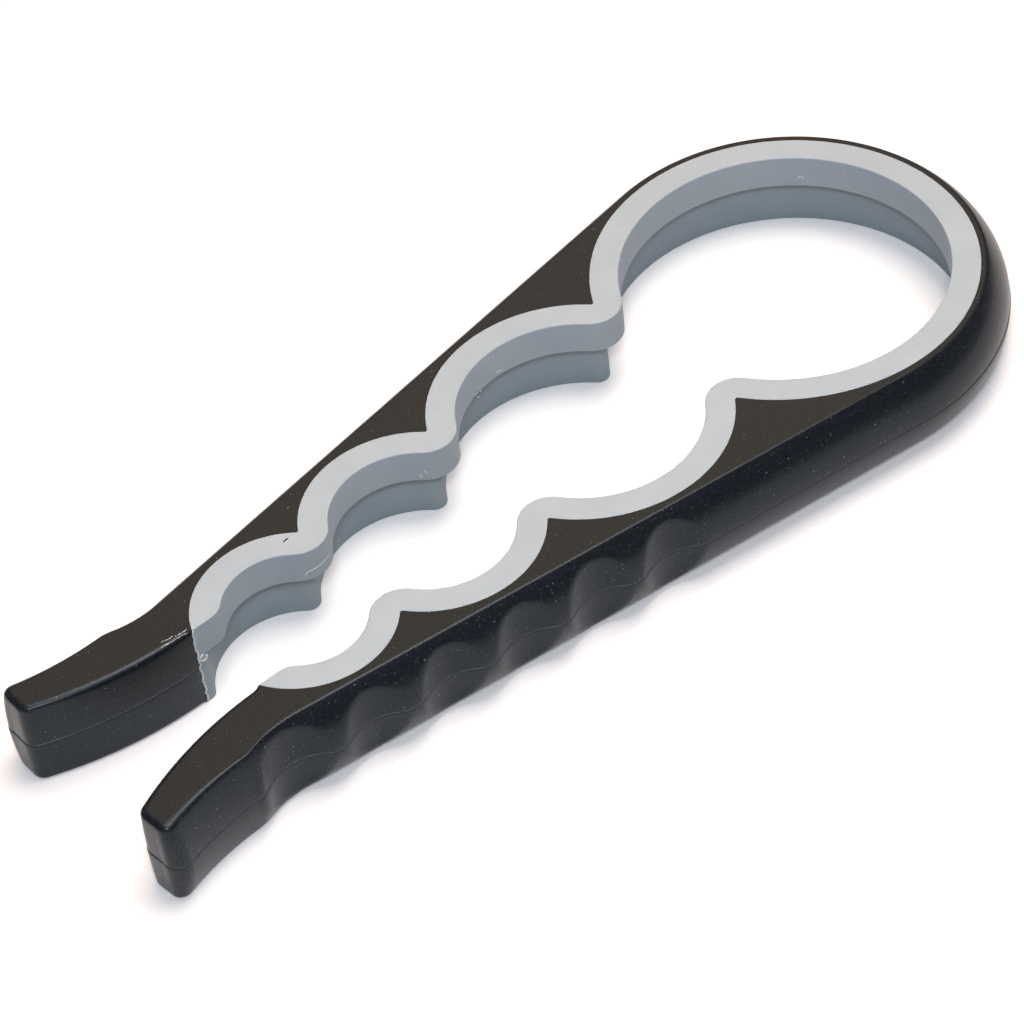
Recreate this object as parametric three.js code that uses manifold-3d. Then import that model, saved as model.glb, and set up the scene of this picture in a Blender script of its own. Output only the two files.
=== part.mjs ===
// Multi opener: a springy tong for screw lids of four sizes.
//
// A black moulded body bends round like a hairpin. Its bow is the largest pocket, three smaller
// pockets follow between the arms, and two short handles flare at the end. The body is two shells
// that meet in a seam at mid height. A grey rubber lining is bonded to the pocket wall: a thick lip
// along the top and a thin skin, set back, below it. Squeezing the handles bends the bow, so every
// piece is cut there into a near arm, a bow and a far arm, and the far arm turns about the bow.
//
// Millimetres, +Z up, +X towards the bow, +Y to the far arm. The origin is the middle of the
// underside. Outlines are drawn round the centre of the ring pocket and moved at the end.

import * as THREE from 'three';
import { mergeVertices } from 'three/addons/utils/BufferGeometryUtils.js';
import Module from 'manifold-3d';

const wasm = await Module();
wasm.setup();

// Body
const thickness = 21.6;
const armSlope = 8.2;          // degrees that each arm's outer edge closes in towards the tip
const sideBulge = 4.9;         // how far the outer side swells out at mid height
const outerRoll = 0.5;         // rounding along the outer edge of the faces
const seamGap = 0.3;           // open joint between the two shells

// Pockets, from the bow towards the handles. The radii are of the black wall.
const ringRadius = 43;
const largeRadius = 31.2;
const middleRadius = 23.65;
const smallRadius = 19.9;
const ringNose = 15.93;        // lining noses between two pockets, from the middle line
const largeNose = 12.87;
const middleNose = 10.2;
const ringWall = 1.5;          // black wall left outside each pocket, on the faces
const largeWall = 1.75;
const middleWall = 2;
const smallWall = 1.77;
const toothRadius = 0.5;       // rounding of the black tooth between two pockets

// Lining
const lipThickness = 6.4;
const lipHeight = 8.2;
const skinThickness = 2.2;
const liningGap = 0.3;         // between the lining and whatever it is bonded to
const endRound = 2.4;          // length rounded off where the lining turns into the handle gap

// Handles
const halfGap = 10.8;          // half the gap between the handles, where the lining ends
const neck = 11.1;             // from the end of the small pocket to the kink where the handle starts
const kinkOut = 3.45;          // how far the kink stands outside the line of the arm's edge
const dipLength = 14;          // the edge leaves its line this far before the kink
const dipTurn = 7;             // and heads for the kink this far before it
const handleLength = 24.3;     // from the kink to the outer corner of the tip
const handleFlare = 3.85;      // how far that corner stands outside the kink
const tipWidth = 8.5;          // from the outer corner of the tip to the inner one
const tipSlant = 0.4;          // how much further the inner corner reaches
const flareEase = 12;          // length over which the outer edge of the handle bends outwards
const innerBelly = 2.1;        // how far the handle's inner edge bows into the gap
const tipOuterRound = 2.2;
const tipInnerRound = 2.6;
const tipSideBulge = 2.2;
const endBulge = 0.4;
const gapFaceBulge = 0.3;
const handleRoll = 1.8;        // rolled edge round the tip and along the gap

// Finger scoops, from the one next to the kink towards the bow
const scoopSetback = 9.8;      // from the kink back to the middle of the first scoop
const scoopPitch = 18.1;
const scoopRadius = 11;
const scoopFloors = [2, 2.5, 2.3, 2.4, 2.1, 2.3];   // outside the line of the arm's edge

// Bow
const bowHalfWidth = 9;        // the bow piece reaches this far each side of the middle line
const cutGap = 0.3;            // between the bow piece and each arm

// Fineness of the facets
const arcStep = THREE.MathUtils.degToRad(8);
const finestRound = 4;
const curveSteps = 6;
const shortCurveSteps = 3;
const sideLevels = 4;
const rollSteps = 2;
const scoopSides = 48;
const weldWithin = 1e-4;

// Worked out from the sizes above
const half = thickness / 2;
const slope = THREE.MathUtils.degToRad(armSlope);
const bulgeRadius = (half * half + sideBulge * sideBulge) / (2 * sideBulge);
const rimRadius = ringRadius + ringWall;

// Directions of the far arm's straight outer edge, which touches the rim round the bow
const outward = new THREE.Vector2(-Math.sin(slope), Math.cos(slope));
const towardsTip = new THREE.Vector2(-Math.cos(slope), -Math.sin(slope));

// How far that edge lies from the middle line
const edgeAside = (along) => rimRadius / Math.cos(slope) - along * Math.tan(slope);

const point = (along, aside) => new THREE.Vector2(-along, aside);

// The next pocket of the far arm, with the rounded black tooth before it. The tooth touches the
// pocket before and stands off the middle line by the lining and its nose. The pocket touches the
// tooth and leaves its wall inside the outer edge.
function nextPocket(before, nose, radius, wall) {
  const toothAside = nose + lipThickness + toothRadius;
  const rise = toothAside - before.centre.y;
  const forward = Math.sqrt((before.radius + toothRadius) ** 2 - rise ** 2);
  const tooth = point(forward - before.centre.x, toothAside);
  const depth = radius + wall;
  const drop = depth - (rimRadius - tooth.dot(outward));
  const run = tooth.dot(towardsTip) + Math.sqrt((radius + toothRadius) ** 2 - drop ** 2);
  const centre = towardsTip.clone().multiplyScalar(run).addScaledVector(outward, rimRadius - depth);
  return { centre, radius, tooth };
}

const ring = { centre: point(0, 0), radius: ringRadius };
const large = nextPocket(ring, ringNose, largeRadius, largeWall);
const middle = nextPocket(large, largeNose, middleRadius, middleWall);
const small = nextPocket(middle, middleNose, smallRadius, smallWall);
const pockets = [ring, large, middle, small];

const kinkAlong = smallRadius + neck - small.centre.x;
const tipOuterAlong = kinkAlong + handleLength;
const tipInnerAlong = tipOuterAlong + tipSlant;
const scoopStart = kinkAlong - scoopSetback;
const reach = 2 * tipInnerAlong;   // larger than the object, for cutting blocks

// Points on an arc, both ends included
function arc(centre, radius, from, to) {
  const steps = Math.max(finestRound, Math.ceil(Math.abs(to - from) / arcStep));
  const points = [];
  for (let i = 0; i <= steps; i++) {
    const angle = from + ((to - from) * i) / steps;
    points.push(new THREE.Vector2(Math.cos(angle), Math.sin(angle)).multiplyScalar(radius).add(centre));
  }
  return points;
}

function curve(start, control, end, steps = curveSteps) {
  return new THREE.QuadraticBezierCurve(start, control, end).getPoints(steps);
}

// Arc that rounds the corner between two edges
function roundedCorner(before, corner, after, radius) {
  const toBefore = before.clone().sub(corner).normalize();
  const toAfter = after.clone().sub(corner).normalize();
  const halfAngle = Math.acos(toBefore.dot(toAfter)) / 2;
  const setback = radius / Math.tan(halfAngle);
  const bisector = toBefore.clone().add(toAfter).normalize();
  const centre = corner.clone().addScaledVector(bisector, radius / Math.sin(halfAngle));
  const start = corner.clone().addScaledVector(toBefore, setback).sub(centre).angle();
  let end = corner.clone().addScaledVector(toAfter, setback).sub(centre).angle();
  if (end - start > Math.PI) end -= 2 * Math.PI;
  if (start - end > Math.PI) end += 2 * Math.PI;
  return arc(centre, radius, start, end);
}

// Where a pocket's wall, moved inwards, meets the line along the handle gap
function gapAngle(pocket, offset) {
  return Math.PI - Math.asin((halfGap - pocket.centre.y) / (pocket.radius - offset));
}

// The pocket wall of the far arm, moved into the pockets by an offset, from the handle gap to the
// middle of the bow. It keeps the same distance everywhere, so the teeth turn into round noses.
function wallPath(offset) {
  const points = [];
  for (let i = pockets.length - 1; i >= 0; i--) {
    const { centre, radius, tooth } = pockets[i];
    const wider = pockets[i - 1];
    const tighter = pockets[i + 1];
    const from = tighter ? tighter.tooth.clone().sub(centre).angle() : gapAngle(pockets[i], offset);
    const to = wider ? tooth.clone().sub(centre).angle() : 0;
    points.push(...arc(centre, radius - offset, from, to));
    if (!wider) continue;
    const start = centre.clone().sub(tooth).angle();
    const end = wider.centre.clone().sub(tooth).angle();
    points.push(...arc(tooth, toothRadius + offset, start, end).slice(1, -1));
  }
  return points;
}

// Each stretch of the outline carries how far it swells out and how much its edge is rolled
function stretch(points, bulgeFrom, bulgeTo, rollFrom, rollTo = rollFrom) {
  const share = (i) => i / Math.max(1, points.length - 1);
  return points.map((p, i) => ({
    p,
    bulge: bulgeFrom + (bulgeTo - bulgeFrom) * share(i),
    roll: rollFrom + (rollTo - rollFrom) * share(i),
  }));
}

// Outline of the far half of the body, from the bow's outer side round the tip to its inner side
function farBodyOutline() {
  const tangent = Math.PI / 2 + slope;
  const bow = arc(new THREE.Vector2(), rimRadius, 0, tangent);
  const kinkAside = edgeAside(kinkAlong) + kinkOut;
  const kink = point(kinkAlong, kinkAside);
  const tipOuter = point(tipOuterAlong, kinkAside + handleFlare);
  const tipInner = point(tipInnerAlong, kinkAside + handleFlare - tipWidth);
  const wall = wallPath(0);
  const gapEnd = wall[0];
  const onEdge = (along) => point(along, edgeAside(along));
  const dip = curve(onEdge(kinkAlong - dipLength), onEdge(kinkAlong - dipTurn), kink);
  const easeControl = point(kinkAlong + flareEase, kinkAside);
  const outerRound = roundedCorner(easeControl, tipOuter, tipInner, tipOuterRound);
  const flare = curve(kink, easeControl, outerRound[0]);
  const chordMiddle = tipInner.clone().lerp(gapEnd, 0.5);
  const bellyControl = point(-chordMiddle.x, chordMiddle.y - 2 * innerBelly);
  const innerRound = roundedCorner(tipOuter, tipInner, bellyControl, tipInnerRound);
  const inner = curve(innerRound[innerRound.length - 1], bellyControl, gapEnd);
  return [
    ...stretch(bow, sideBulge, sideBulge, outerRoll),
    ...stretch(dip.slice(0, -1), sideBulge, tipSideBulge, outerRoll),
    ...stretch(flare, tipSideBulge, tipSideBulge, outerRoll, handleRoll),
    ...stretch(outerRound.slice(1), tipSideBulge, endBulge, handleRoll),
    ...stretch(innerRound, endBulge, gapFaceBulge, handleRoll),
    ...stretch(inner.slice(1, -1), gapFaceBulge, gapFaceBulge, handleRoll),
    ...stretch(wall, 0, 0, 0),
  ];
}

// Far half and its mirror image, joined at the bow
function wholeOutline(farHalf) {
  const nearHalf = farHalf.map(({ p, ...rest }) => ({ p: new THREE.Vector2(p.x, -p.y), ...rest }));
  return [...farHalf, ...nearHalf.reverse().slice(1, -1)];
}

// How far the side stands out at a height above mid height, as a share of its bulge
function swell(height) {
  const chord = bulgeRadius - sideBulge;
  return (Math.sqrt(bulgeRadius * bulgeRadius - height * height) - chord) / sideBulge;
}

// Closed mesh through rings of points that all have the same number of points
function loft(rings) {
  const count = rings[0].length;
  const positions = rings.flat().flatMap((v) => [v.x, v.y, v.z]);
  const index = [];
  for (let r = 0; r + 1 < rings.length; r++) {
    for (let i = 0; i < count; i++) {
      const j = (i + 1) % count;
      const low = r * count;
      const high = low + count;
      index.push(low + i, low + j, high + j, low + i, high + j, high + i);
    }
  }
  const flat = (ring) => ring.map((v) => new THREE.Vector2(v.x, v.y));
  const top = (rings.length - 1) * count;
  for (const [a, b, c] of THREE.ShapeUtils.triangulateShape(flat(rings[rings.length - 1]), [])) {
    index.push(top + a, top + b, top + c);
  }
  for (const [a, b, c] of THREE.ShapeUtils.triangulateShape(flat(rings[0]), [])) {
    index.push(a, c, b);
  }
  const geometry = new THREE.BufferGeometry();
  geometry.setAttribute('position', new THREE.Float32BufferAttribute(positions, 3));
  geometry.setIndex(index);
  return geometry;
}

// Outward direction at each point of a closed anticlockwise outline
function outwardNormals(outline) {
  const count = outline.length;
  return outline.map(({ p }, i) => {
    const before = outline[(i + count - 1) % count].p;
    const after = outline[(i + 1) % count].p;
    const arriving = p.clone().sub(before).normalize();
    const leaving = after.clone().sub(p).normalize();
    const along = arriving.add(leaving).normalize();
    return new THREE.Vector2(along.y, -along.x);
  });
}

// Upper half of the body, from the seam up to the rolled edge of the top face
function upperBody() {
  const outline = wholeOutline(farBodyOutline());
  const normals = outwardNormals(outline);
  const ring = (heightOf, insetOf) => outline.map((entry, i) => {
    const height = heightOf(entry);
    const out = entry.bulge * swell(height) - insetOf(entry);
    const p = entry.p.clone().addScaledVector(normals[i], out);
    return new THREE.Vector3(p.x, p.y, half + height);
  });
  const rings = [];
  for (let level = 0; level < sideLevels; level++) {
    const share = level / sideLevels;
    const lift = (entry) => seamGap / 2 + (half - seamGap / 2 - entry.roll) * share;
    rings.push(ring(lift, () => 0));
  }
  for (let step = 0; step <= rollSteps; step++) {
    const turn = (Math.PI / 2) * (step / rollSteps);
    const lift = (entry) => half - entry.roll * (1 - Math.sin(turn));
    rings.push(ring(lift, (entry) => entry.roll * (1 - Math.cos(turn))));
  }
  return loft(rings);
}

// Lining between two offsets from the pocket wall and two heights
function liningStrip(outer, inner, bottom, top) {
  const back = wallPath(outer);
  const front = wallPath(inner);
  const corner = front[0];
  const width = corner.distanceTo(back[0]);
  const ease = Math.min(endRound, width / 2);
  const kept = front.filter((p) => p.distanceTo(corner) > ease);
  const onGap = corner.clone().lerp(back[0], ease / width);
  const rounded = curve(kept[0], corner, onGap, shortCurveSteps);
  const farHalf = [...kept.slice(1).reverse(), ...rounded, ...back];
  const outline = wholeOutline(farHalf.map((p) => ({ p }))).map(({ p }) => p);
  const level = (z) => outline.map((p) => new THREE.Vector3(p.x, p.y, z)).reverse();
  return loft([level(bottom), level(top)]);
}

function toSolid(geometry) {
  const bare = geometry.clone();
  bare.deleteAttribute('normal');
  bare.deleteAttribute('uv');
  const merged = mergeVertices(bare, weldWithin);
  const source = merged.index.array;
  const triVerts = [];
  for (let i = 0; i < source.length; i += 3) {
    const [a, b, c] = [source[i], source[i + 1], source[i + 2]];
    if (a !== b && b !== c && c !== a) triVerts.push(a, b, c);
  }
  const vertProperties = new Float32Array(merged.attributes.position.array);
  return new wasm.Manifold(new wasm.Mesh({ numProp: 3, vertProperties, triVerts: new Uint32Array(triVerts) }));
}

function toGeometry(solid) {
  const mesh = solid.getMesh();
  const positions = new Float32Array(mesh.numVert * 3);
  for (let i = 0; i < mesh.numVert; i++) {
    for (let k = 0; k < 3; k++) positions[3 * i + k] = mesh.vertProperties[mesh.numProp * i + k];
  }
  const geometry = new THREE.BufferGeometry();
  geometry.setAttribute('position', new THREE.BufferAttribute(positions, 3));
  geometry.setIndex(new THREE.BufferAttribute(new Uint32Array(mesh.triVerts), 1));
  const faceted = geometry.toNonIndexed();
  faceted.computeVertexNormals();
  return faceted;
}

// Box between two corners
function block(low, high) {
  const size = new THREE.Vector3().subVectors(high, low);
  const centre = new THREE.Vector3().addVectors(low, high).multiplyScalar(0.5);
  return toSolid(new THREE.BoxGeometry(size.x, size.y, size.z).translate(centre.x, centre.y, centre.z));
}

// Upright cylinders that hollow the outer sides for the fingers
function scoops() {
  const cutters = [];
  scoopFloors.forEach((floor, i) => {
    const along = scoopStart - i * scoopPitch;
    const centre = point(along, edgeAside(along)).addScaledVector(outward, floor + scoopRadius);
    for (const side of [1, -1]) {
      const cylinder = new THREE.CylinderGeometry(scoopRadius, scoopRadius, 2 * thickness, scoopSides, 1);
      cutters.push(toSolid(cylinder.rotateX(Math.PI / 2).translate(centre.x, side * centre.y, half)));
    }
  });
  return cutters.reduce((all, cutter) => all.add(cutter));
}

const bowBlock = block(
  new THREE.Vector3(0, -bowHalfWidth, -thickness),
  new THREE.Vector3(reach, bowHalfWidth, 2 * thickness),
);
const bowBlockWithGap = block(
  new THREE.Vector3(-cutGap, -bowHalfWidth - cutGap, -thickness),
  new THREE.Vector3(reach, bowHalfWidth + cutGap, 2 * thickness),
);
const farBlock = block(new THREE.Vector3(-reach, 0, -thickness), new THREE.Vector3(reach, reach, 2 * thickness));
const nearBlock = block(new THREE.Vector3(-reach, -reach, -thickness), new THREE.Vector3(reach, 0, 2 * thickness));

const shellMaterial = () => new THREE.MeshStandardMaterial({ color: 0x2d2926, roughness: 0.45, metalness: 0 });
const liningMaterial = () => new THREE.MeshStandardMaterial({ color: 0xaeb3b6, roughness: 0.7, metalness: 0 });

function makeLayers() {
  const upper = toSolid(upperBody()).subtract(scoops());
  const lower = upper.mirror([0, 0, 1]).translate([0, 0, thickness]);
  const lipBottom = thickness - lipHeight;
  const lip = toSolid(liningStrip(liningGap, lipThickness, lipBottom, thickness));
  const skin = toSolid(liningStrip(liningGap, skinThickness, 0, lipBottom - liningGap));
  return [
    { name: 'upper_shell', solid: upper, material: shellMaterial },
    { name: 'lower_shell', solid: lower, material: shellMaterial },
    { name: 'lining_lip', solid: lip, material: liningMaterial },
    { name: 'lining_skin', solid: skin, material: liningMaterial },
  ];
}

function makePiece(name, solid, material) {
  const mesh = new THREE.Mesh(toGeometry(solid), material());
  mesh.name = name;
  return mesh;
}

const opener = new THREE.Group();

for (const { name, solid, material } of makeLayers()) {
  opener.add(makePiece(`bow_${name}`, solid.intersect(bowBlock), material));
  opener.add(makePiece(`near_arm_${name}`, solid.intersect(nearBlock).subtract(bowBlockWithGap), material));
  opener.add(makePiece(`far_arm_${name}`, solid.intersect(farBlock).subtract(bowBlockWithGap), material));
}

// Bring the middle of the underside to the origin
const box = new THREE.Box3().setFromObject(opener);
opener.position.x = -(box.min.x + box.max.x) / 2;

export default opener;
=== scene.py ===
# Multi opener: two black hairpin shells and a grey rubber lining in two layers, dressed round the
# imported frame. Sizes are in millimetres and become metres when a piece is finished. Plans are drawn
# round the centre of the ring pocket: X towards the bow, Y to the far arm, Z up from the underside.

import math
import random

import bmesh
import bpy
from mathutils import Matrix, Quaternion, Vector
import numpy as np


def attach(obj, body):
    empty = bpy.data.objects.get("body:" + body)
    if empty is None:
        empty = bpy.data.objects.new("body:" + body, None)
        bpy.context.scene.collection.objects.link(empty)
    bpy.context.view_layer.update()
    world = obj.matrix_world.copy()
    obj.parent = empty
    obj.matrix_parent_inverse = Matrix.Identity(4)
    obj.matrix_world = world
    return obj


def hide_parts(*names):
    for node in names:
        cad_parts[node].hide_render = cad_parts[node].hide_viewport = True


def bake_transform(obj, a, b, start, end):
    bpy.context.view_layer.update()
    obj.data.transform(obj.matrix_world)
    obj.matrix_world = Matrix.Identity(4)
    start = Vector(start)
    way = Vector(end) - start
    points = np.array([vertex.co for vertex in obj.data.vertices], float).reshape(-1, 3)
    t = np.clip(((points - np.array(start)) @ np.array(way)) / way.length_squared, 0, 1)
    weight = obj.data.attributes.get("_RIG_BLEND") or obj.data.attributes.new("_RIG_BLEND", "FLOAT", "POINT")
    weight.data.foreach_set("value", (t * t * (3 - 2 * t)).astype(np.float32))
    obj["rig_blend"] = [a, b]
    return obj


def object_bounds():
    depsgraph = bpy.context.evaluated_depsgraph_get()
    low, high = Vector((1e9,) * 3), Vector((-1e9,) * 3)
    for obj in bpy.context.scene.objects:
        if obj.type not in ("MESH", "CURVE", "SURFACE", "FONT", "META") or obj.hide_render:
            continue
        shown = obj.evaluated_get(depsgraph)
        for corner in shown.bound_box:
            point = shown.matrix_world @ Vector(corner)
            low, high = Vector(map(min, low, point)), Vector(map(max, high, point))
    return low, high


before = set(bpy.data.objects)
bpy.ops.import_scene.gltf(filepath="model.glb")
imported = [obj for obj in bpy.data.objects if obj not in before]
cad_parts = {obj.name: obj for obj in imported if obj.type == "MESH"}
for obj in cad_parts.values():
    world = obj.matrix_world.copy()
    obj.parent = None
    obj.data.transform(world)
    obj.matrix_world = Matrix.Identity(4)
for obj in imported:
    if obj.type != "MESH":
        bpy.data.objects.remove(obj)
cad_low, cad_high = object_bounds()

MM = 0.001

# Body. A rolled edge is an ellipse, and its drop is its height as a share of its width.
THICKNESS = (cad_high.z - cad_low.z) / MM
MID_HEIGHT = THICKNESS / 2
ARM_SLOPE = math.radians(8.2)
SIDE_BULGE = 4.9
BULGE_RADIUS = (MID_HEIGHT**2 + SIDE_BULGE**2) / (2 * SIDE_BULGE)
OUTER_ROLL = 0.45
ROLL_DROP = 0.55
SEAM_GAP = 0.02
UPPER_SEAM_ROLL = 0.04
LOWER_SEAM_ROLL = 0.25
UPPER_SHELL_INSET = 0.15

# Pockets, from the bow towards the handles: radius of the black wall, wall left outside it, and
# how far the lining's nose before it stands from the middle line
RING_RADIUS = 43
RING_WALL = 1.5
ARM_POCKETS = [
    {"radius": 31.2, "wall": 1.75, "nose": 15.93},
    {"radius": 23.65, "wall": 2, "nose": 12.87},
    {"radius": 19.9, "wall": 1.77, "nose": 10.2},
]
TOOTH_RADIUS = 0.5
RIM_RADIUS = RING_RADIUS + RING_WALL
RING_X = cad_high.x / MM - RIM_RADIUS - SIDE_BULGE

# Lining. The roundness of a strip's bottom and top edges is a share of the lining's edge.
LIP_THICKNESS = 6.4
LIP_HEIGHT = 8.2
LIP_EDGES = (0.7, 1)
SKIN_THICKNESS = 2.2
SKIN_EDGES = (1, 0.2)
BOND_GAP = 0.05
LINING_EDGE = 0.3
END_ROUND = 2.4

# Handles
HALF_GAP = 10.8
NECK = 11.1
KINK_OUT = 3.45
DIP_LENGTH = 14
DIP_TURN = 7
SHOULDER_ROUND = 9
HANDLE_LENGTH = 24.3
HANDLE_FLARE = 3.85
TIP_WIDTH = 8.5
TIP_SLANT = 0.4
FLARE_EASE = 12
INNER_BELLY = 2.1
TIP_OUTER_ROUND = 2.2
TIP_INNER_ROUND = 2.6
TIP_SIDE_BULGE = 2.2
END_BULGE = 0.4
GAP_FACE_BULGE = 0.3
HANDLE_ROLL = 1.7
GAP_EASE = 1.2

# Finger scoops, from the kink towards the bow. Only the outer side has them: it bulges at least as much
# as the handle's side does, and faces outwards.
SCOOP_SETBACK = 9.8
SCOOP_PITCH = 18.1
SCOOP_RADIUS = 11
SCOOP_FLOORS = [2, 2.5, 2.3, 2.4, 2.1, 2.3]
SCOOP_DRAFT = 0.6
RIDGE_SOFTNESS = 1.2
ARCH_SOFTNESS = 0.3
ARCH_HEIGHT = 7
NO_SCOOP = 99
BULGE_TOLERANCE = 0.01
FACES_OUT = 0.5

# Bend of the bow between the two arms, each side of the middle line
BEND_REACH = 9

# Fineness
SPACING = 0.8
FEWEST_STEPS = 6
SIDE_LEVELS = 14
ROLL_STEPS = 5
QUARTER_TURN = [math.pi / 2 * step / ROLL_STEPS for step in range(ROLL_STEPS + 1)]
FLAT_RIM = 0.25
JOIN_WITHIN = 1e-3
SHARP_ANGLE = 35


# Plan


OUTWARD = Vector((-math.sin(ARM_SLOPE), math.cos(ARM_SLOPE)))
TOWARDS_TIP = Vector((-math.cos(ARM_SLOPE), -math.sin(ARM_SLOPE)))


def point(along, aside):
    """A place in plan, from the ring's centre towards the handles and from the middle line outwards."""
    return Vector((-along, aside))


def edge_aside(along):
    """How far the line of the arm's outer edge lies from the middle line."""
    return RIM_RADIUS / math.cos(ARM_SLOPE) - along * math.tan(ARM_SLOPE)


def on_edge(along):
    return point(along, edge_aside(along))


def next_pocket(before, radius, wall, nose):
    """The tooth touches the pocket before it, and the pocket touches the tooth and the outer wall."""
    tooth_aside = nose + LIP_THICKNESS + TOOTH_RADIUS
    rise = tooth_aside - before["centre"].y
    forward = math.sqrt((before["radius"] + TOOTH_RADIUS) ** 2 - rise**2)
    tooth = point(forward - before["centre"].x, tooth_aside)
    depth = radius + wall
    drop = depth - (RIM_RADIUS - tooth.dot(OUTWARD))
    run = tooth.dot(TOWARDS_TIP) + math.sqrt((radius + TOOTH_RADIUS) ** 2 - drop**2)
    return {"centre": TOWARDS_TIP * run + OUTWARD * (RIM_RADIUS - depth), "radius": radius, "tooth": tooth}


def pocket_row():
    row = [{"centre": point(0, 0), "radius": RING_RADIUS}]
    for sizes in ARM_POCKETS:
        row.append(next_pocket(row[-1], **sizes))
    return row


POCKETS = pocket_row()
KINK_ALONG = POCKETS[-1]["radius"] + NECK - POCKETS[-1]["centre"].x
KINK = point(KINK_ALONG, edge_aside(KINK_ALONG) + KINK_OUT)
TIP_OUTER = KINK + point(HANDLE_LENGTH, HANDLE_FLARE)
TIP_INNER = TIP_OUTER + point(TIP_SLANT, -TIP_WIDTH)


class Arc:
    """Part of a circle in plan, from a start angle to an end angle."""

    def __init__(self, centre, radius, start, end):
        self.centre = centre
        self.radius = radius
        self.start = start
        self.end = end

    def at(self, angle):
        return self.centre + Vector((math.cos(angle), math.sin(angle))) * self.radius


def angle_of(vector):
    return math.atan2(vector.y, vector.x)


def wall_arcs(offset, short=0):
    """The far arm's pocket wall moved inwards, from the bow to the handle gap or a little short of it."""
    arcs = []
    start = 0
    for pocket, following in zip(POCKETS, POCKETS[1:]):
        centre = pocket["centre"]
        tooth = following["tooth"]
        arcs.append(Arc(centre, pocket["radius"] - offset, start, angle_of(tooth - centre)))
        leaving = angle_of(centre - tooth) % math.tau
        arriving = angle_of(following["centre"] - tooth) % math.tau
        arcs.append(Arc(tooth, TOOTH_RADIUS + offset, leaving, arriving))
        start = angle_of(tooth - following["centre"])
    centre = POCKETS[-1]["centre"]
    radius = POCKETS[-1]["radius"] - offset
    gap = math.pi - math.asin((HALF_GAP - centre.y) / radius)
    arcs.append(Arc(centre, radius, start, gap - short / radius))
    return arcs


def corner_arc(before, corner, after, radius):
    """The arc that rounds a corner."""
    to_before = (before - corner).normalized()
    to_after = (after - corner).normalized()
    half_angle = to_before.angle(to_after) / 2
    setback = radius / math.tan(half_angle)
    centre = corner + (to_before + to_after).normalized() * (radius / math.sin(half_angle))
    start = angle_of(corner + to_before * setback - centre)
    end = angle_of(corner + to_after * setback - centre)
    sweep = (end - start + math.pi) % math.tau - math.pi
    return Arc(centre, radius, start, start + sweep)


# Paths: a path is a chain of vertices, and each step starts from the last one


def new_path(start):
    bm = bmesh.new()
    bm.verts.layers.float.new("bulge")
    bm.verts.layers.float.new("roll")
    bm.verts.layers.int.new("spot")
    bm.verts.new(start.to_3d())
    return bm


def path_end(bm):
    bm.verts.ensure_lookup_table()
    return bm.verts[-1]


def go(bm, target):
    step = bmesh.ops.extrude_vert_indiv(bm, verts=[path_end(bm)])["verts"][0]
    step.co = target.to_3d()


def go_straight(bm, target):
    start = path_end(bm).co.to_2d()
    steps = max(1, round((target - start).length / SPACING))
    for i in range(1, steps + 1):
        go(bm, start.lerp(target, i / steps))


def go_curved(bm, control, target):
    """A parabola that leaves towards the control point and arrives from it."""
    start = path_end(bm).co.to_2d()
    steps = max(FEWEST_STEPS, round((target - start).length / SPACING))
    for i in range(1, steps + 1):
        share = i / steps
        go(bm, start.lerp(control, share).lerp(control.lerp(target, share), share))


def turn(bm, arc, backwards=False):
    """Turns about an arc's centre by its angle. The path already stands at the arc's start, or its end."""
    angle = arc.start - arc.end if backwards else arc.end - arc.start
    steps = max(FEWEST_STEPS, round(abs(angle) * arc.radius / SPACING))
    bmesh.ops.spin(bm, geom=[path_end(bm)], cent=arc.centre.to_3d(), axis=(0, 0, 1), angle=angle,
                   steps=steps, use_duplicate=False)


def follow(bm, arcs, backwards=False):
    """Draws arcs one after another, from the bow to the gap or back."""
    for arc in reversed(arcs) if backwards else arcs:
        turn(bm, arc, backwards)


def mark(bm, first, bulge, roll):
    """Gives the vertices drawn since first their bulge and edge roll, each running from one value to
    another, and returns where the next vertices start."""
    bulge_layer = bm.verts.layers.float["bulge"]
    roll_layer = bm.verts.layers.float["roll"]
    made = list(bm.verts)[first:]
    for i, vert in enumerate(made):
        share = (i + 1) / len(made)
        vert[bulge_layer] = bulge[0] + (bulge[1] - bulge[0]) * share
        vert[roll_layer] = roll[0] + (roll[1] - roll[0]) * share
    return len(bm.verts)


def ease_in(bm, first, length):
    """Lets bulge and roll grow from nothing over a length of path."""
    verts = list(bm.verts)
    start = verts[first - 1].co
    for vert in verts[first:]:
        share = smooth_share((vert.co - start).length / length)
        for layer in bm.verts.layers.float.values():
            vert[layer] *= share


# Raising a half plan into a solid


def smooth_share(share):
    share = min(1, max(0, share))
    return share * share * (3 - 2 * share)


def soft_min(a, b, softness):
    blend = max(0, softness - abs(a - b)) / softness
    return min(a, b) - blend * blend * softness / 4


def swell(height):
    """How far the side stands out at a height above mid height, as a share of its bulge."""
    chord = BULGE_RADIUS - SIDE_BULGE
    return (math.sqrt(BULGE_RADIUS**2 - height**2) - chord) / SIDE_BULGE


def scoop_limit(base, normal):
    """How far out along its normal a point may go before it reaches a finger scoop."""
    limit = NO_SCOOP
    for i, floor in enumerate(SCOOP_FLOORS):
        along = KINK_ALONG - SCOOP_SETBACK - i * SCOOP_PITCH
        centre = on_edge(along) + OUTWARD * (floor + SCOOP_RADIUS)
        gap = base - centre
        reach = gap.dot(normal)
        inside = reach**2 - gap.length_squared + SCOOP_RADIUS**2
        if inside > 0 and reach < 0:
            limit = soft_min(limit, -reach - math.sqrt(inside), RIDGE_SOFTNESS)
    return limit


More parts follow.
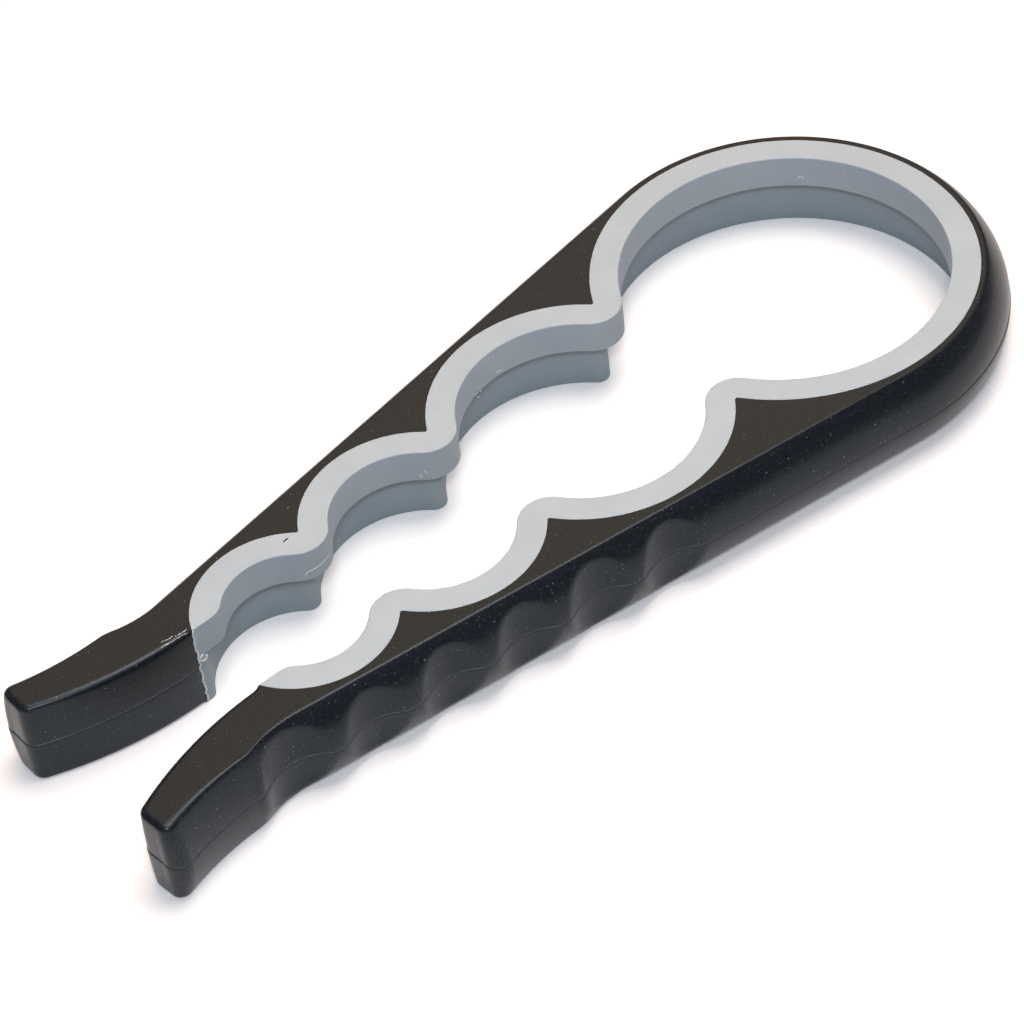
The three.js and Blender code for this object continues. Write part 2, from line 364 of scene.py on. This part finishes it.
class Spot:
    """One vertex of a half plan: its place, its outward direction, and how its side is shaped."""

    def __init__(self, vert, before, after, layers):
        self.base = vert.co.to_2d()
        self.bulge = vert[layers["bulge"]]
        self.roll = vert[layers["roll"]]
        along = (self.base - before).normalized() + (after - self.base).normalized()
        self.normal = Vector((-along.y, along.x)).normalized()
        self.scoop = NO_SCOOP
        self.inset = 0

    def is_on_outer_side(self):
        return self.bulge > TIP_SIDE_BULGE - BULGE_TOLERANCE and self.normal.dot(OUTWARD) > FACES_OUT

    def out(self, height):
        """Offset outwards at a height above mid height. The scoops' edges are crisper higher up."""
        share = smooth_share(height / ARCH_HEIGHT)
        softness = RIDGE_SOFTNESS + (ARCH_SOFTNESS - RIDGE_SOFTNESS) * share
        scoop = self.scoop - SCOOP_DRAFT * height / MID_HEIGHT
        return soft_min(self.bulge * swell(height), scoop, softness) - self.inset


def spots_of(bm):
    """The path's vertices as spots. Both ends lie on the middle line, where the path is mirrored."""
    layers = bm.verts.layers.float
    verts = list(bm.verts)
    verts[0].co.y = 0
    verts[-1].co.y = 0
    for i, vert in enumerate(verts):
        vert[bm.verts.layers.int["spot"]] = i
    flip = Matrix(((1, 0), (0, -1)))
    places = [v.co.to_2d() for v in verts]
    places = [flip @ places[1], *places, flip @ places[-2]]
    return [Spot(v, places[i], places[i + 2], layers) for i, v in enumerate(verts)]


def extrude(bm, edges):
    """Extrudes edges and returns the new vertices and the edges between them."""
    made = bmesh.ops.extrude_edge_only(bm, edges=edges)["geom"]
    verts = [v for v in made if isinstance(v, bmesh.types.BMVert)]
    between = [e for e in made if isinstance(e, bmesh.types.BMEdge) and all(v in verts for v in e.verts)]
    return verts, between


def raise_levels(bm, spots, levels):
    """Extrudes the path up from level to level. A level gives each spot its height and its offset out."""
    spot_layer = bm.verts.layers.int["spot"]
    verts = list(bm.verts)
    edges = list(bm.edges)
    for i, level in enumerate(levels):
        if i > 0:
            verts, edges = extrude(bm, edges)
        for vert in verts:
            spot = spots[vert[spot_layer]]
            height, out = level(spot)
            vert.co = (spot.base + spot.normal * out).to_3d()
            vert.co.z = height


def fill_holes(bm):
    bmesh.ops.holes_fill(bm, edges=[e for e in bm.edges if e.is_boundary], sides=0)


def close_solid(bm):
    """Mirrors the half to the near arm, closes the top and the bottom and points the faces outwards."""
    bmesh.ops.mirror(bm, geom=bm.verts[:] + bm.edges[:] + bm.faces[:], axis="Y", merge_dist=JOIN_WITHIN)
    fill_holes(bm)
    bmesh.ops.recalc_face_normals(bm, faces=bm.faces)


def new_object(name, data):
    made = bpy.data.objects.new(name, data)
    bpy.context.scene.collection.objects.link(made)
    return made


def finish_piece(bm, name, material, nodes=(), sharp=SHARP_ANGLE):
    """Turns a drawing in millimetres into a finished piece in its place."""
    bmesh.ops.translate(bm, verts=bm.verts, vec=(RING_X, 0, 0))
    bmesh.ops.scale(bm, verts=bm.verts, vec=(MM, MM, MM))
    mesh = bpy.data.meshes.new(name)
    bm.to_mesh(mesh)
    bm.free()
    mesh.shade_smooth()
    mesh.set_sharp_from_angle(angle=math.radians(sharp))
    rest = mesh.attributes.new("rest_place", "FLOAT_VECTOR", "POINT")
    rest.data.foreach_set("vector", [x for v in mesh.vertices for x in v.co])
    mesh.materials.append(material)
    piece = new_object(name, mesh)
    if nodes:
        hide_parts(*nodes)
    return piece


def nodes_of(layer):
    """The three nodes that one real piece stands for."""
    return [f"{arm}_{layer}" for arm in ("near_arm", "bow", "far_arm")]


def bend_with_bow(piece):
    """The piece follows the near arm on one side of the bow and the far arm on the other."""
    bow_x = (RING_X + RIM_RADIUS) * MM
    reach = BEND_REACH * MM
    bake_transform(piece, "near_arm", "far_arm", start=(bow_x, -reach, 0), end=(bow_x, reach, 0))


# Black shells


def body_path():
    """Half plan of the black body, from the inner side of the bow round the handle to its outer side."""
    bm = new_path(point(-RING_RADIUS, 0))
    follow(bm, wall_arcs(0))
    gap_end = path_end(bm).co.to_2d()
    belly = TIP_INNER.lerp(gap_end, 0.5) - Vector((0, 2 * INNER_BELLY))
    ease = KINK + point(FLARE_EASE, 0)
    dip = on_edge(KINK_ALONG - DIP_TURN)
    inner_round = corner_arc(belly, TIP_INNER, TIP_OUTER, TIP_INNER_ROUND)
    outer_round = corner_arc(TIP_INNER, TIP_OUTER, ease, TIP_OUTER_ROUND)
    shoulder = corner_arc(ease, KINK, dip, SHOULDER_ROUND)

    gap_face = len(bm.verts)
    go_curved(bm, belly, inner_round.at(inner_round.start))
    first = mark(bm, gap_face, (GAP_FACE_BULGE, GAP_FACE_BULGE), (HANDLE_ROLL, HANDLE_ROLL))
    ease_in(bm, gap_face, GAP_EASE)
    turn(bm, inner_round)
    first = mark(bm, first, (GAP_FACE_BULGE, END_BULGE), (HANDLE_ROLL, HANDLE_ROLL))
    go_straight(bm, outer_round.at(outer_round.start))
    first = mark(bm, first, (END_BULGE, END_BULGE), (HANDLE_ROLL, HANDLE_ROLL))
    turn(bm, outer_round)
    first = mark(bm, first, (END_BULGE, TIP_SIDE_BULGE), (HANDLE_ROLL, HANDLE_ROLL))
    go_curved(bm, ease, shoulder.at(shoulder.start))
    first = mark(bm, first, (TIP_SIDE_BULGE, TIP_SIDE_BULGE), (HANDLE_ROLL, OUTER_ROLL))
    turn(bm, shoulder)
    go_curved(bm, dip, on_edge(KINK_ALONG - DIP_LENGTH))
    first = mark(bm, first, (TIP_SIDE_BULGE, SIDE_BULGE), (OUTER_ROLL, OUTER_ROLL))
    go_straight(bm, OUTWARD * RIM_RADIUS)
    turn(bm, Arc(point(0, 0), RIM_RADIUS, angle_of(OUTWARD), 0))
    mark(bm, first, (SIDE_BULGE, SIDE_BULGE), (OUTER_ROLL, OUTER_ROLL))
    return bm


def seam_level(spot, seam_roll, turned):
    lift = SEAM_GAP / 2 + seam_roll * (1 - math.cos(turned))
    return MID_HEIGHT + lift, spot.out(lift) - seam_roll * (1 - math.sin(turned))


def side_level(spot, seam_roll, share):
    low = SEAM_GAP / 2 + seam_roll
    high = MID_HEIGHT - spot.roll * ROLL_DROP
    height = low + (high - low) * share
    return MID_HEIGHT + height, spot.out(height)


def roll_level(spot, turned):
    height = MID_HEIGHT - spot.roll * ROLL_DROP * (1 - math.sin(turned))
    return MID_HEIGHT + height, spot.out(height) - spot.roll * (1 - math.cos(turned))


def shell_levels(seam_roll):
    """Levels of the upper shell: rounded seam edge, side, rolled top edge and a rim of the flat face."""
    levels = []
    for turned in QUARTER_TURN[:-1]:
        levels.append(lambda spot, t=turned: seam_level(spot, seam_roll, t))
    for step in range(SIDE_LEVELS):
        levels.append(lambda spot, s=step / SIDE_LEVELS: side_level(spot, seam_roll, s))
    for turned in QUARTER_TURN:
        levels.append(lambda spot, t=turned: roll_level(spot, t))
    levels.append(lambda spot: (THICKNESS, spot.out(MID_HEIGHT) - spot.roll - FLAT_RIM))
    return levels


def shell_mesh(inset, seam_roll):
    """The upper shell, with the sides that show set in by a little."""
    bm = body_path()
    spots = spots_of(bm)
    for spot in spots:
        spot.inset = inset * min(1, spot.bulge / GAP_FACE_BULGE)
        if spot.is_on_outer_side():
            spot.scoop = scoop_limit(spot.base, spot.normal)
    raise_levels(bm, spots, shell_levels(seam_roll))
    close_solid(bm)
    return bm


def make_shells(material):
    """The lower shell is drawn like the upper one and turned upside down."""
    upper = shell_mesh(UPPER_SHELL_INSET, UPPER_SEAM_ROLL)
    lower = shell_mesh(0, LOWER_SEAM_ROLL)
    bmesh.ops.scale(lower, verts=lower.verts, vec=(1, 1, -1))
    bmesh.ops.translate(lower, verts=lower.verts, vec=(0, 0, THICKNESS))
    bmesh.ops.reverse_faces(lower, faces=lower.faces)
    for name, bm in (("upper_shell", upper), ("lower_shell", lower)):
        bend_with_bow(finish_piece(bm, name, material, nodes_of(name)))


# Grey lining


def lining_path(thickness):
    """Half plan of a strip of lining, along its front from the bow to the gap and back along the wall."""
    front_end = wall_arcs(thickness)[-1]
    corner = front_end.at(front_end.end)
    back_arcs = wall_arcs(BOND_GAP)
    back = back_arcs[-1].at(back_arcs[-1].end)
    ease = min(END_ROUND, (corner - back).length / 2)

    bm = new_path(point(thickness - RING_RADIUS, 0))
    follow(bm, wall_arcs(thickness, short=ease))
    first = mark(bm, 0, (0, 0), (LINING_EDGE, LINING_EDGE))
    go_curved(bm, corner, corner + (back - corner).normalized() * ease)
    go_straight(bm, back)
    first = mark(bm, first, (0, 0), (LINING_EDGE, BOND_GAP))
    follow(bm, back_arcs, backwards=True)
    mark(bm, first, (0, 0), (BOND_GAP, BOND_GAP))
    return bm


def strip_levels(bottom, top, bottom_edge, top_edge):
    """Levels of a strip: a rim of the flat face, rounded edge, side, rounded edge and rim again."""
    levels = [lambda spot: (bottom, -spot.roll * bottom_edge - FLAT_RIM)]
    for turned in QUARTER_TURN:
        levels.append(lambda spot, t=turned: (bottom + spot.roll * bottom_edge * (1 - math.cos(t)),
                                              -spot.roll * bottom_edge * (1 - math.sin(t))))
    for turned in QUARTER_TURN:
        levels.append(lambda spot, t=turned: (top - spot.roll * top_edge * (1 - math.sin(t)),
                                              -spot.roll * top_edge * (1 - math.cos(t))))
    levels.append(lambda spot: (top, -spot.roll * top_edge - FLAT_RIM))
    return levels


def make_strip(name, thickness, levels, material):
    bm = lining_path(thickness)
    raise_levels(bm, spots_of(bm), levels)
    close_solid(bm)
    bend_with_bow(finish_piece(bm, name, material, nodes_of(name)))


def make_lining(rubber, shaded_rubber):
    """A thick lip at the top, and a thin skin from the underside up to it."""
    step = THICKNESS - LIP_HEIGHT
    make_strip("lining_lip", LIP_THICKNESS, strip_levels(step, THICKNESS, *LIP_EDGES), rubber)
    # The lower strip gets the darker copy of the rubber, painted shade under the lip
    make_strip("lining_skin", SKIN_THICKNESS, strip_levels(0, step - BOND_GAP, *SKIN_EDGES), shaded_rubber)


# Flash and crumbs left by the moulding, all on the far arm

FLASH_SEED = 5
FLASH_SIDES = 6
FLASH_RADIUS = 0.26
FLASH_WOBBLE = 0.22
FLASH_PITCH = 0.7
FLASH_SHARP_ANGLE = 80
CURL_THINNING = 0.8
CURL_RADIUS = 0.85
CURL_SETBACK = 0.3
CURL_HEIGHT = 12.8
CURL_TURN = math.radians(-280)
CURL_STEPS = 14

# Slivers stuck to the lining: place, way the wall faces, turn from level in degrees, and length
SLIVERS = [
    ((-22.5, 28.85, 21.3), (0.54, -0.71, 0.45), 75, 1.3),
    ((-94, 15.7, 14.7), (-0.7, -0.72, 0), -50, 1.6),
    ((-93.2, 14.85, 15.9), (-0.64, -0.77, 0), -58, 1.7),
    ((-61, 27.57, 14.65), (0, -1, 0), -8, 2.1),
    ((-67.6, 26.8, 14.8), (0.25, -0.97, 0), 20, 0.5),
    ((-68.4, 26.65, 13.7), (0.25, -0.97, 0), 80, 0.4),
    ((-66.9, 26.95, 13.4), (0.25, -0.97, 0), 130, 0.5),
    ((-67.9, 26.75, 12.4), (0.25, -0.97, 0), 0, 0.6),
    ((33.52, 14.68, 18.3), (-0.92, -0.39, 0), 0, 0.5),
]
SLIVER_WIDTH = 0.36
SLIVER_HEIGHT = 0.24

# A surface that faces up more than this has no level of its own, so turns start from the X axis
FACES_UP = 0.9

# Threads of torn rubber that lie along a wall, as places on it
THREADS = [
    [(-130, 11.15, 14.9), (-129.5, 10.8, 15.8), (-128.3, 10.35, 16), (-127, 10.2, 16.1),
     (-125.9, 10.2, 16.25), (-124.6, 10.45, 16.3), (-123.2, 11.05, 16.15)],
    [(27.8, 23.8, 15.4), (28.3, 23.25, 16.4), (28.8, 22.55, 15.6)],
]
THREAD_OVERLAP = 1.4

# Two rows of scuffs where the handle's top edge meets the lining, each from one place to another.
# Within its row a scuff's share of its pitch, offset aside, turn, length and width are random.
SCUFF_ROWS = [((-165.6, 12.9, 21.6), (-159.6, 11.6, 21.6)), ((-166.4, 11.9, 21.38), (-160.4, 11.2, 21.52))]
SCUFFS_IN_ROW = 8
SCUFF_SEED = 11
SCUFF_SHARES = (0.2, 0.8)
SCUFF_OFFSETS = (-0.12, 0.12)
SCUFF_TURNS = (-15, 10)
SCUFF_LENGTHS = (0.5, 1.4)
SCUFF_WIDTHS = (0.08, 0.22)
SCUFF_FACING = (0, -0.15, 1)

# The black crumb on top of the lining: place, way the surface faces, turn, length and width
BLACK_CRUMB = ((-129.6, 16.5, 21.55), (0, 0, 1), 8, 2.3, 0.5)


def add_sliver(bm, place, facing, turned, length, width=SLIVER_WIDTH):
    """A flat splinter that lies on a surface."""
    up = Vector(facing).normalized()
    level = Vector((-up.y, up.x, 0)) if abs(up.z) < FACES_UP else Vector((1, 0, 0))
    along = Quaternion(up, math.radians(turned)) @ level
    along = (along - up * along.dot(up)).normalized()
    turn_to = Matrix((along, up.cross(along), up)).transposed().to_4x4()
    lie = Matrix.Translation(place) @ turn_to @ Matrix.Diagonal((length, width, SLIVER_HEIGHT, 1))
    bmesh.ops.create_icosphere(bm, subdivisions=1, radius=0.5, matrix=lie)


def add_thread(bm, places):
    """Slivers end to end along a wall, from each place to the next."""
    places = [Vector(place) for place in places]
    for start, end in zip(places, places[1:]):
        step = end - start
        rise = math.degrees(math.asin(step.z / step.length))
        add_sliver(bm, (start + end) / 2, step.cross(Vector((0, 0, 1))), rise, step.length * THREAD_OVERLAP)


def add_scuffs(bm, start, end, rng):
    for i in range(SCUFFS_IN_ROW):
        place = Vector(start).lerp(Vector(end), (i + rng.uniform(*SCUFF_SHARES)) / SCUFFS_IN_ROW)
        place.y += rng.uniform(*SCUFF_OFFSETS)
        turned = rng.uniform(*SCUFF_TURNS)
        length = rng.uniform(*SCUFF_LENGTHS)
        add_sliver(bm, place, SCUFF_FACING, turned, length, rng.uniform(*SCUFF_WIDTHS))


def make_crumbs(rubber, plastic):
    rng = random.Random(SCUFF_SEED)
    bm = bmesh.new()
    for sliver in SLIVERS:
        add_sliver(bm, *sliver)
    for thread in THREADS:
        add_thread(bm, thread)
    for start, end in SCUFF_ROWS:
        add_scuffs(bm, start, end, rng)
    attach(finish_piece(bm, "rubber_crumbs", rubber), "far_arm")
    bm = bmesh.new()
    add_sliver(bm, *BLACK_CRUMB)
    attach(finish_piece(bm, "black_crumb", plastic), "far_arm")


def add_bead(bm, corner):
    """A wavy bead of rubber from the underside to the top."""
    rng = random.Random(FLASH_SEED)
    start = Matrix.Translation(corner + Vector((0, 0, FLASH_RADIUS)))
    bmesh.ops.create_circle(bm, segments=FLASH_SIDES, radius=FLASH_RADIUS, matrix=start)
    edges = list(bm.edges)
    for _ in range(round((THICKNESS - 2 * FLASH_RADIUS) / FLASH_PITCH)):
        verts, edges = extrude(bm, edges)
        middle = sum((v.co for v in verts), Vector()) / len(verts)
        x = corner.x + rng.uniform(-FLASH_WOBBLE, FLASH_WOBBLE)
        y = corner.y - rng.uniform(0, FLASH_WOBBLE)
        bmesh.ops.translate(bm, verts=verts, vec=(x - middle.x, y - middle.y, FLASH_PITCH))
    fill_holes(bm)


def add_curl(bm, corner):
    """A torn end that curls away from the bead."""
    hub = corner + Vector((CURL_RADIUS + CURL_SETBACK, -FLASH_RADIUS, CURL_HEIGHT))
    start = Matrix.Translation(hub + Vector((0, 0, CURL_RADIUS))) @ Matrix.Rotation(math.pi / 2, 4, "Y")
    ring = bmesh.ops.create_circle(bm, segments=FLASH_SIDES, radius=FLASH_RADIUS * CURL_THINNING,
                                   matrix=start)["verts"]
    ring += [e for e in bm.edges if all(v in ring for v in e.verts)]
    bmesh.ops.spin(bm, geom=ring, cent=hub, axis=(0, 1, 0), angle=CURL_TURN, steps=CURL_STEPS,
                   use_duplicate=False)
    fill_holes(bm)


def make_flash(material):
    """The flash down the end of the lining: a wavy bead with a torn curl half way."""
    wall_end = wall_arcs(0)[-1]
    corner = wall_end.at(wall_end.end).to_3d()
    bm = bmesh.new()
    add_bead(bm, corner)
    add_curl(bm, corner)
    bmesh.ops.recalc_face_normals(bm, faces=bm.faces)
    flash = finish_piece(bm, "lining_flash", material, sharp=FLASH_SHARP_ANGLE)
    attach(flash, "far_arm")


# Materials

# Black plastic: sizes of its patches and grain, strength and depth of the grain's bumps, the grain's
# values between which it turns from the plain tones to the worn one, and roughness from patch to patch
BLACK_PATCHES = 14
BLACK_GRAIN = 0.45
BLACK_BUMPS = (0.3, 0.06)
BLACK_TONES = ("#0e1217", "#15191e")
WORN_BLACK = "#26292d"
WORN_BETWEEN = (0.4, 0.75)
BLACK_ROUGHNESS = (0.27, 0.33)

# Dust: spacing and radius of its specks, and the shares of places that have one on faces that are
# level and on those that aren't, by how far the normal points up
# Colour of the dust specks, and also of the pale line along the seam, which is a painted highlight
DUST_AND_SEAM_HIGHLIGHT_COLOUR = "#76767a"
COARSE_DUST = (1.5, 0.17)
FINE_DUST = (0.7, 0.1)
LEVEL_TO_UPRIGHT = (0.98, 0.7)
DUST_SHARES = (0.05, 0.3)

# Drifts: the patches' values between which the dust grows, and how much of it there is at both ends
DRIFT_BETWEEN = (0.42, 0.62)
DRIFT_AMOUNTS = (0.3, 1.5)

# Painted highlight along the seam, a pale line for the light caught by the lower shell's edge: how far from
# the seam it starts to thin out and ends, and how much it covers
SEAM_HIGHLIGHT_REACH = (0.05, 0.2)
SEAM_HIGHLIGHT_AMOUNT = 0.4

# Grey rubber: sizes of its mottling and grain, strength and depth of the grain's bumps, and tones
RUBBER_MOTTLING = 9
RUBBER_GRAIN = 1.2
RUBBER_BUMPS = (0.2, 0.08)
WHOLE_RUBBER = ("#b3bfc6", "#c3ced4")
SHADED_RUBBER = ("#a1aeb4", "#afbbc1")
# Darker copy of the rubber's tones for the lower strip: painted shade for the shadow under the lip
TORN_RUBBER = ("#e4e8ec", "#f6f8fa")


def linear(hex_colour):
    """A colour written as sRGB hex, in the linear values that the shader wants."""
    parts = [int(hex_colour[i:i + 2], 16) / 255 for i in (1, 3, 5)]
    return [c / 12.92 if c <= 0.04045 else ((c + 0.055) / 1.055) ** 2.4 for c in parts] + [1]


def feed(node, inputs):
    """Sets a node's inputs. An input is a value, or the socket that feeds it."""
    for name, value in inputs.items():
        if isinstance(value, bpy.types.NodeSocket):
            node.id_data.links.new(value, node.inputs[name])
        else:
            node.inputs[name].default_value = value


def add(tree, kind, inputs=None, **settings):
    """Adds a shader node."""
    made = tree.nodes.new("ShaderNode" + kind)
    for name, value in settings.items():
        setattr(made, name, value)
    feed(made, inputs or {})
    return made


def calculate(tree, operation, *values):
    """One step of arithmetic on numbers and sockets."""
    return add(tree, "Math", dict(enumerate(values)), operation=operation).outputs["Value"]


def remap(tree, value, start, end, low=0, high=1):
    """Low where the value is at start or before it, high at end or beyond, and even in between."""
    ends = {"From Min": start, "From Max": end, "To Min": low, "To Max": high}
    return add(tree, "MapRange", {"Value": value, **ends}).outputs["Result"]


def mix(tree, share, first, second):
    """A colour between two, the second where the share is one."""
    return add(tree, "Mix", {"Factor": share, "A": first, "B": second}, data_type="RGBA").outputs["Result"]


def noise(tree, place, size, detail):
    """Cloudy values round a half, with features about a size across."""
    inputs = {"Vector": place, "Scale": 1 / (size * MM), "Detail": detail}
    return add(tree, "TexNoise", inputs).outputs["Fac"]


def bumps(tree, height, strength, depth):
    """The surface's normal with small bumps in it."""
    inputs = {"Height": height, "Strength": strength, "Distance": depth * MM}
    return add(tree, "Bump", inputs).outputs["Normal"]


def upward_part(tree, vector):
    return add(tree, "SeparateXYZ", {"Vector": vector}).outputs["Z"]


def rest_place(tree):
    """Where a point of the piece is at rest, so that the pattern stays on it as it moves."""
    return add(tree, "Attribute", attribute_name="rest_place").outputs["Vector"]


def new_material(name):
    material = bpy.data.materials.new(name)
    material.use_nodes = True
    tree = material.node_tree
    return material, tree, tree.nodes["Principled BSDF"]


def specks(tree, place, spacing, radius, share):
    """One inside small round specks, and nothing elsewhere. Only a share of the places has a speck."""
    cells = add(tree, "TexVoronoi", {"Vector": place, "Scale": 1 / (spacing * MM)})
    within = calculate(tree, "LESS_THAN", cells.outputs["Distance"], radius / spacing)
    lot = add(tree, "SeparateColor", {"Color": cells.outputs["Color"]}).outputs["Red"]
    return calculate(tree, "MULTIPLY", within, calculate(tree, "LESS_THAN", lot, share))


def dust_and_seam_highlight(tree, place, cloud):
    """Specks of dust, most of them on the sides and in drifts, and a faint pale line along the seam that is
    a painted highlight.
    """
    level = calculate(tree, "ABSOLUTE", upward_part(tree, add(tree, "NewGeometry").outputs["Normal"]))
    on_sides = remap(tree, level, *LEVEL_TO_UPRIGHT, *DUST_SHARES)
    in_drifts = remap(tree, cloud, *DRIFT_BETWEEN, *DRIFT_AMOUNTS)
    share = calculate(tree, "MULTIPLY", on_sides, in_drifts)
    coarse = specks(tree, place, *COARSE_DUST, share)
    fine = specks(tree, place, *FINE_DUST, share)
    # A pale line painted along the seam: painted highlight where the lower shell's edge catches light
    above_seam = calculate(tree, "SUBTRACT", upward_part(tree, place), MID_HEIGHT * MM)
    from_seam = calculate(tree, "ABSOLUTE", above_seam)
    near, far = SEAM_HIGHLIGHT_REACH
    seam_highlight = remap(tree, from_seam, near * MM, far * MM, SEAM_HIGHLIGHT_AMOUNT, 0)
    return calculate(tree, "MAXIMUM", calculate(tree, "MAXIMUM", coarse, fine), seam_highlight)


def moulded_black_plastic():
    """Black polypropylene from a finely sparked mould: a bluish black, satin, with a fine grain, and pale
    dust that has caught on the sides. Grain and dust are drawn coarser than life, so that they show."""
    material, tree, shader = new_material("moulded_black_plastic")
    place = rest_place(tree)
    cloud = noise(tree, place, BLACK_PATCHES, detail=3)
    grain = noise(tree, place, BLACK_GRAIN, detail=2)
    tone = mix(tree, cloud, *map(linear, BLACK_TONES))
    worn = mix(tree, remap(tree, grain, *WORN_BETWEEN), tone, linear(WORN_BLACK))
    # Dust specks, and the painted highlight along the seam
    dust_and_highlight = mix(tree, dust_and_seam_highlight(tree, place, cloud), worn, linear(DUST_AND_SEAM_HIGHLIGHT_COLOUR))
    feed(shader, {
        "Base Color": dust_and_highlight,
        "Normal": bumps(tree, grain, *BLACK_BUMPS),
        "Roughness": remap(tree, cloud, 0, 1, *BLACK_ROUGHNESS),
        "IOR": 1.49,
        "Specular IOR Level": 0.35,
        "Specular Tint": (0.74, 0.89, 1, 1),
    })
    return material


def grey_rubber(name, tones):
    """Light grey thermoplastic rubber, moulded: matt, very slightly mottled. The darker tones given for the
    lower strip are painted shade under the lip, and where it is torn, it is stretched nearly white."""
    material, tree, shader = new_material(name)
    place = rest_place(tree)
    cloud = noise(tree, place, RUBBER_MOTTLING, detail=4)
    grain = noise(tree, place, RUBBER_GRAIN, detail=3)
    feed(shader, {
        "Base Color": mix(tree, cloud, *map(linear, tones)),
        "Normal": bumps(tree, grain, *RUBBER_BUMPS),
        "Roughness": 0.6,
        "IOR": 1.5,
    })
    return material


# Stage, in metres

CAMERA_EYE = Vector((-0.3325, -0.4321, 0.5428))
CAMERA_TARGET = Vector((-0.0119, -0.0036, 0.0108))
CAMERA_ROLL = math.radians(-7.6)
CAMERA_LENS = 125.66
SENSOR_WIDTH = 36
NEAREST_SEEN = 0.01
FARTHEST_SEEN = 50
FLOOR_REACH = 4
FLOOR_GLOW = 0.18
ROOM_COLOUR = (0.13, 0.128, 0.17, 1)

# Square softboxes that face the object: name, place, width, watts and colour. The small one above the
# camera gives the thin shadow under the lip.
LAMPS = [
    ("softbox_above", (0.2, -0.08, 1.2), 0.6, 9.6, "#fff2e6"),
    ("softbox_behind", (0.55, 0.75, 1.1), 1.2, 5.8, "#ffd8a8"),
    ("softbox_by_camera", (-0.29, -0.39, 0.61), 0.12, 1.9, "#f0f6ff"),
]


def make_camera():
    camera = new_object("camera", bpy.data.cameras.new("camera"))
    bpy.context.scene.camera = camera
    camera.data.lens = CAMERA_LENS
    camera.data.sensor_width = SENSOR_WIDTH
    camera.data.clip_start = NEAREST_SEEN
    camera.data.clip_end = FARTHEST_SEEN
    camera.location = CAMERA_EYE
    aim = (CAMERA_TARGET - CAMERA_EYE).to_track_quat("-Z", "Y")
    camera.rotation_mode = "QUATERNION"
    camera.rotation_quaternion = aim @ Quaternion((0, 0, 1), CAMERA_ROLL)


def seen_rays(tree):
    """One for what the camera sees directly, in a reflection or through something, and otherwise nothing."""
    rays = add(tree, "LightPath").outputs
    seen = calculate(tree, "MAXIMUM", rays["Is Camera Ray"], rays["Is Glossy Ray"])
    return calculate(tree, "MAXIMUM", seen, rays["Is Transmission Ray"])


def studio_floor():
    """Matt white paper under the object. It throws less light on the object than it seems to."""
    material, tree, shader = new_material("studio_floor")
    seen = seen_rays(tree)
    feed(shader, {
        "Base Color": mix(tree, seen, linear("#b9bdc0"), linear("#ffffff")),
        "Emission Strength": calculate(tree, "MULTIPLY", seen, FLOOR_GLOW),
        "Emission Color": linear("#ffffff"),
        "Roughness": 1,
        "Specular IOR Level": 0,
    })
    return material


def make_floor():
    bm = bmesh.new()
    bmesh.ops.create_grid(bm, x_segments=1, y_segments=1, size=FLOOR_REACH)
    mesh = bpy.data.meshes.new("floor")
    bm.to_mesh(mesh)
    bm.free()
    mesh.materials.append(studio_floor())
    new_object("floor", mesh)


def make_lamp(name, place, width, watts, colour):
    data = bpy.data.lights.new(name, "AREA")
    data.shape = "SQUARE"
    data.size = width
    data.energy = watts
    data.color = linear(colour)[:3]
    lamp = new_object(name, data)
    lamp.location = place
    lamp.rotation_mode = "QUATERNION"
    lamp.rotation_quaternion = (-Vector(place)).to_track_quat("-Z", "Y")


def make_room():
    world = bpy.data.worlds.new("room")
    bpy.context.scene.world = world
    world.use_nodes = True
    world.node_tree.nodes["Background"].inputs["Color"].default_value = ROOM_COLOUR
    bpy.context.scene.view_settings.view_transform = "Standard"


make_camera()
make_floor()
for lamp in LAMPS:
    make_lamp(*lamp)
make_room()

black_plastic = moulded_black_plastic()
torn_rubber = grey_rubber("torn_grey_rubber", TORN_RUBBER)
make_shells(black_plastic)
make_lining(grey_rubber("grey_rubber", WHOLE_RUBBER), grey_rubber("shaded_grey_rubber", SHADED_RUBBER))
make_flash(torn_rubber)
make_crumbs(torn_rubber, black_plastic)
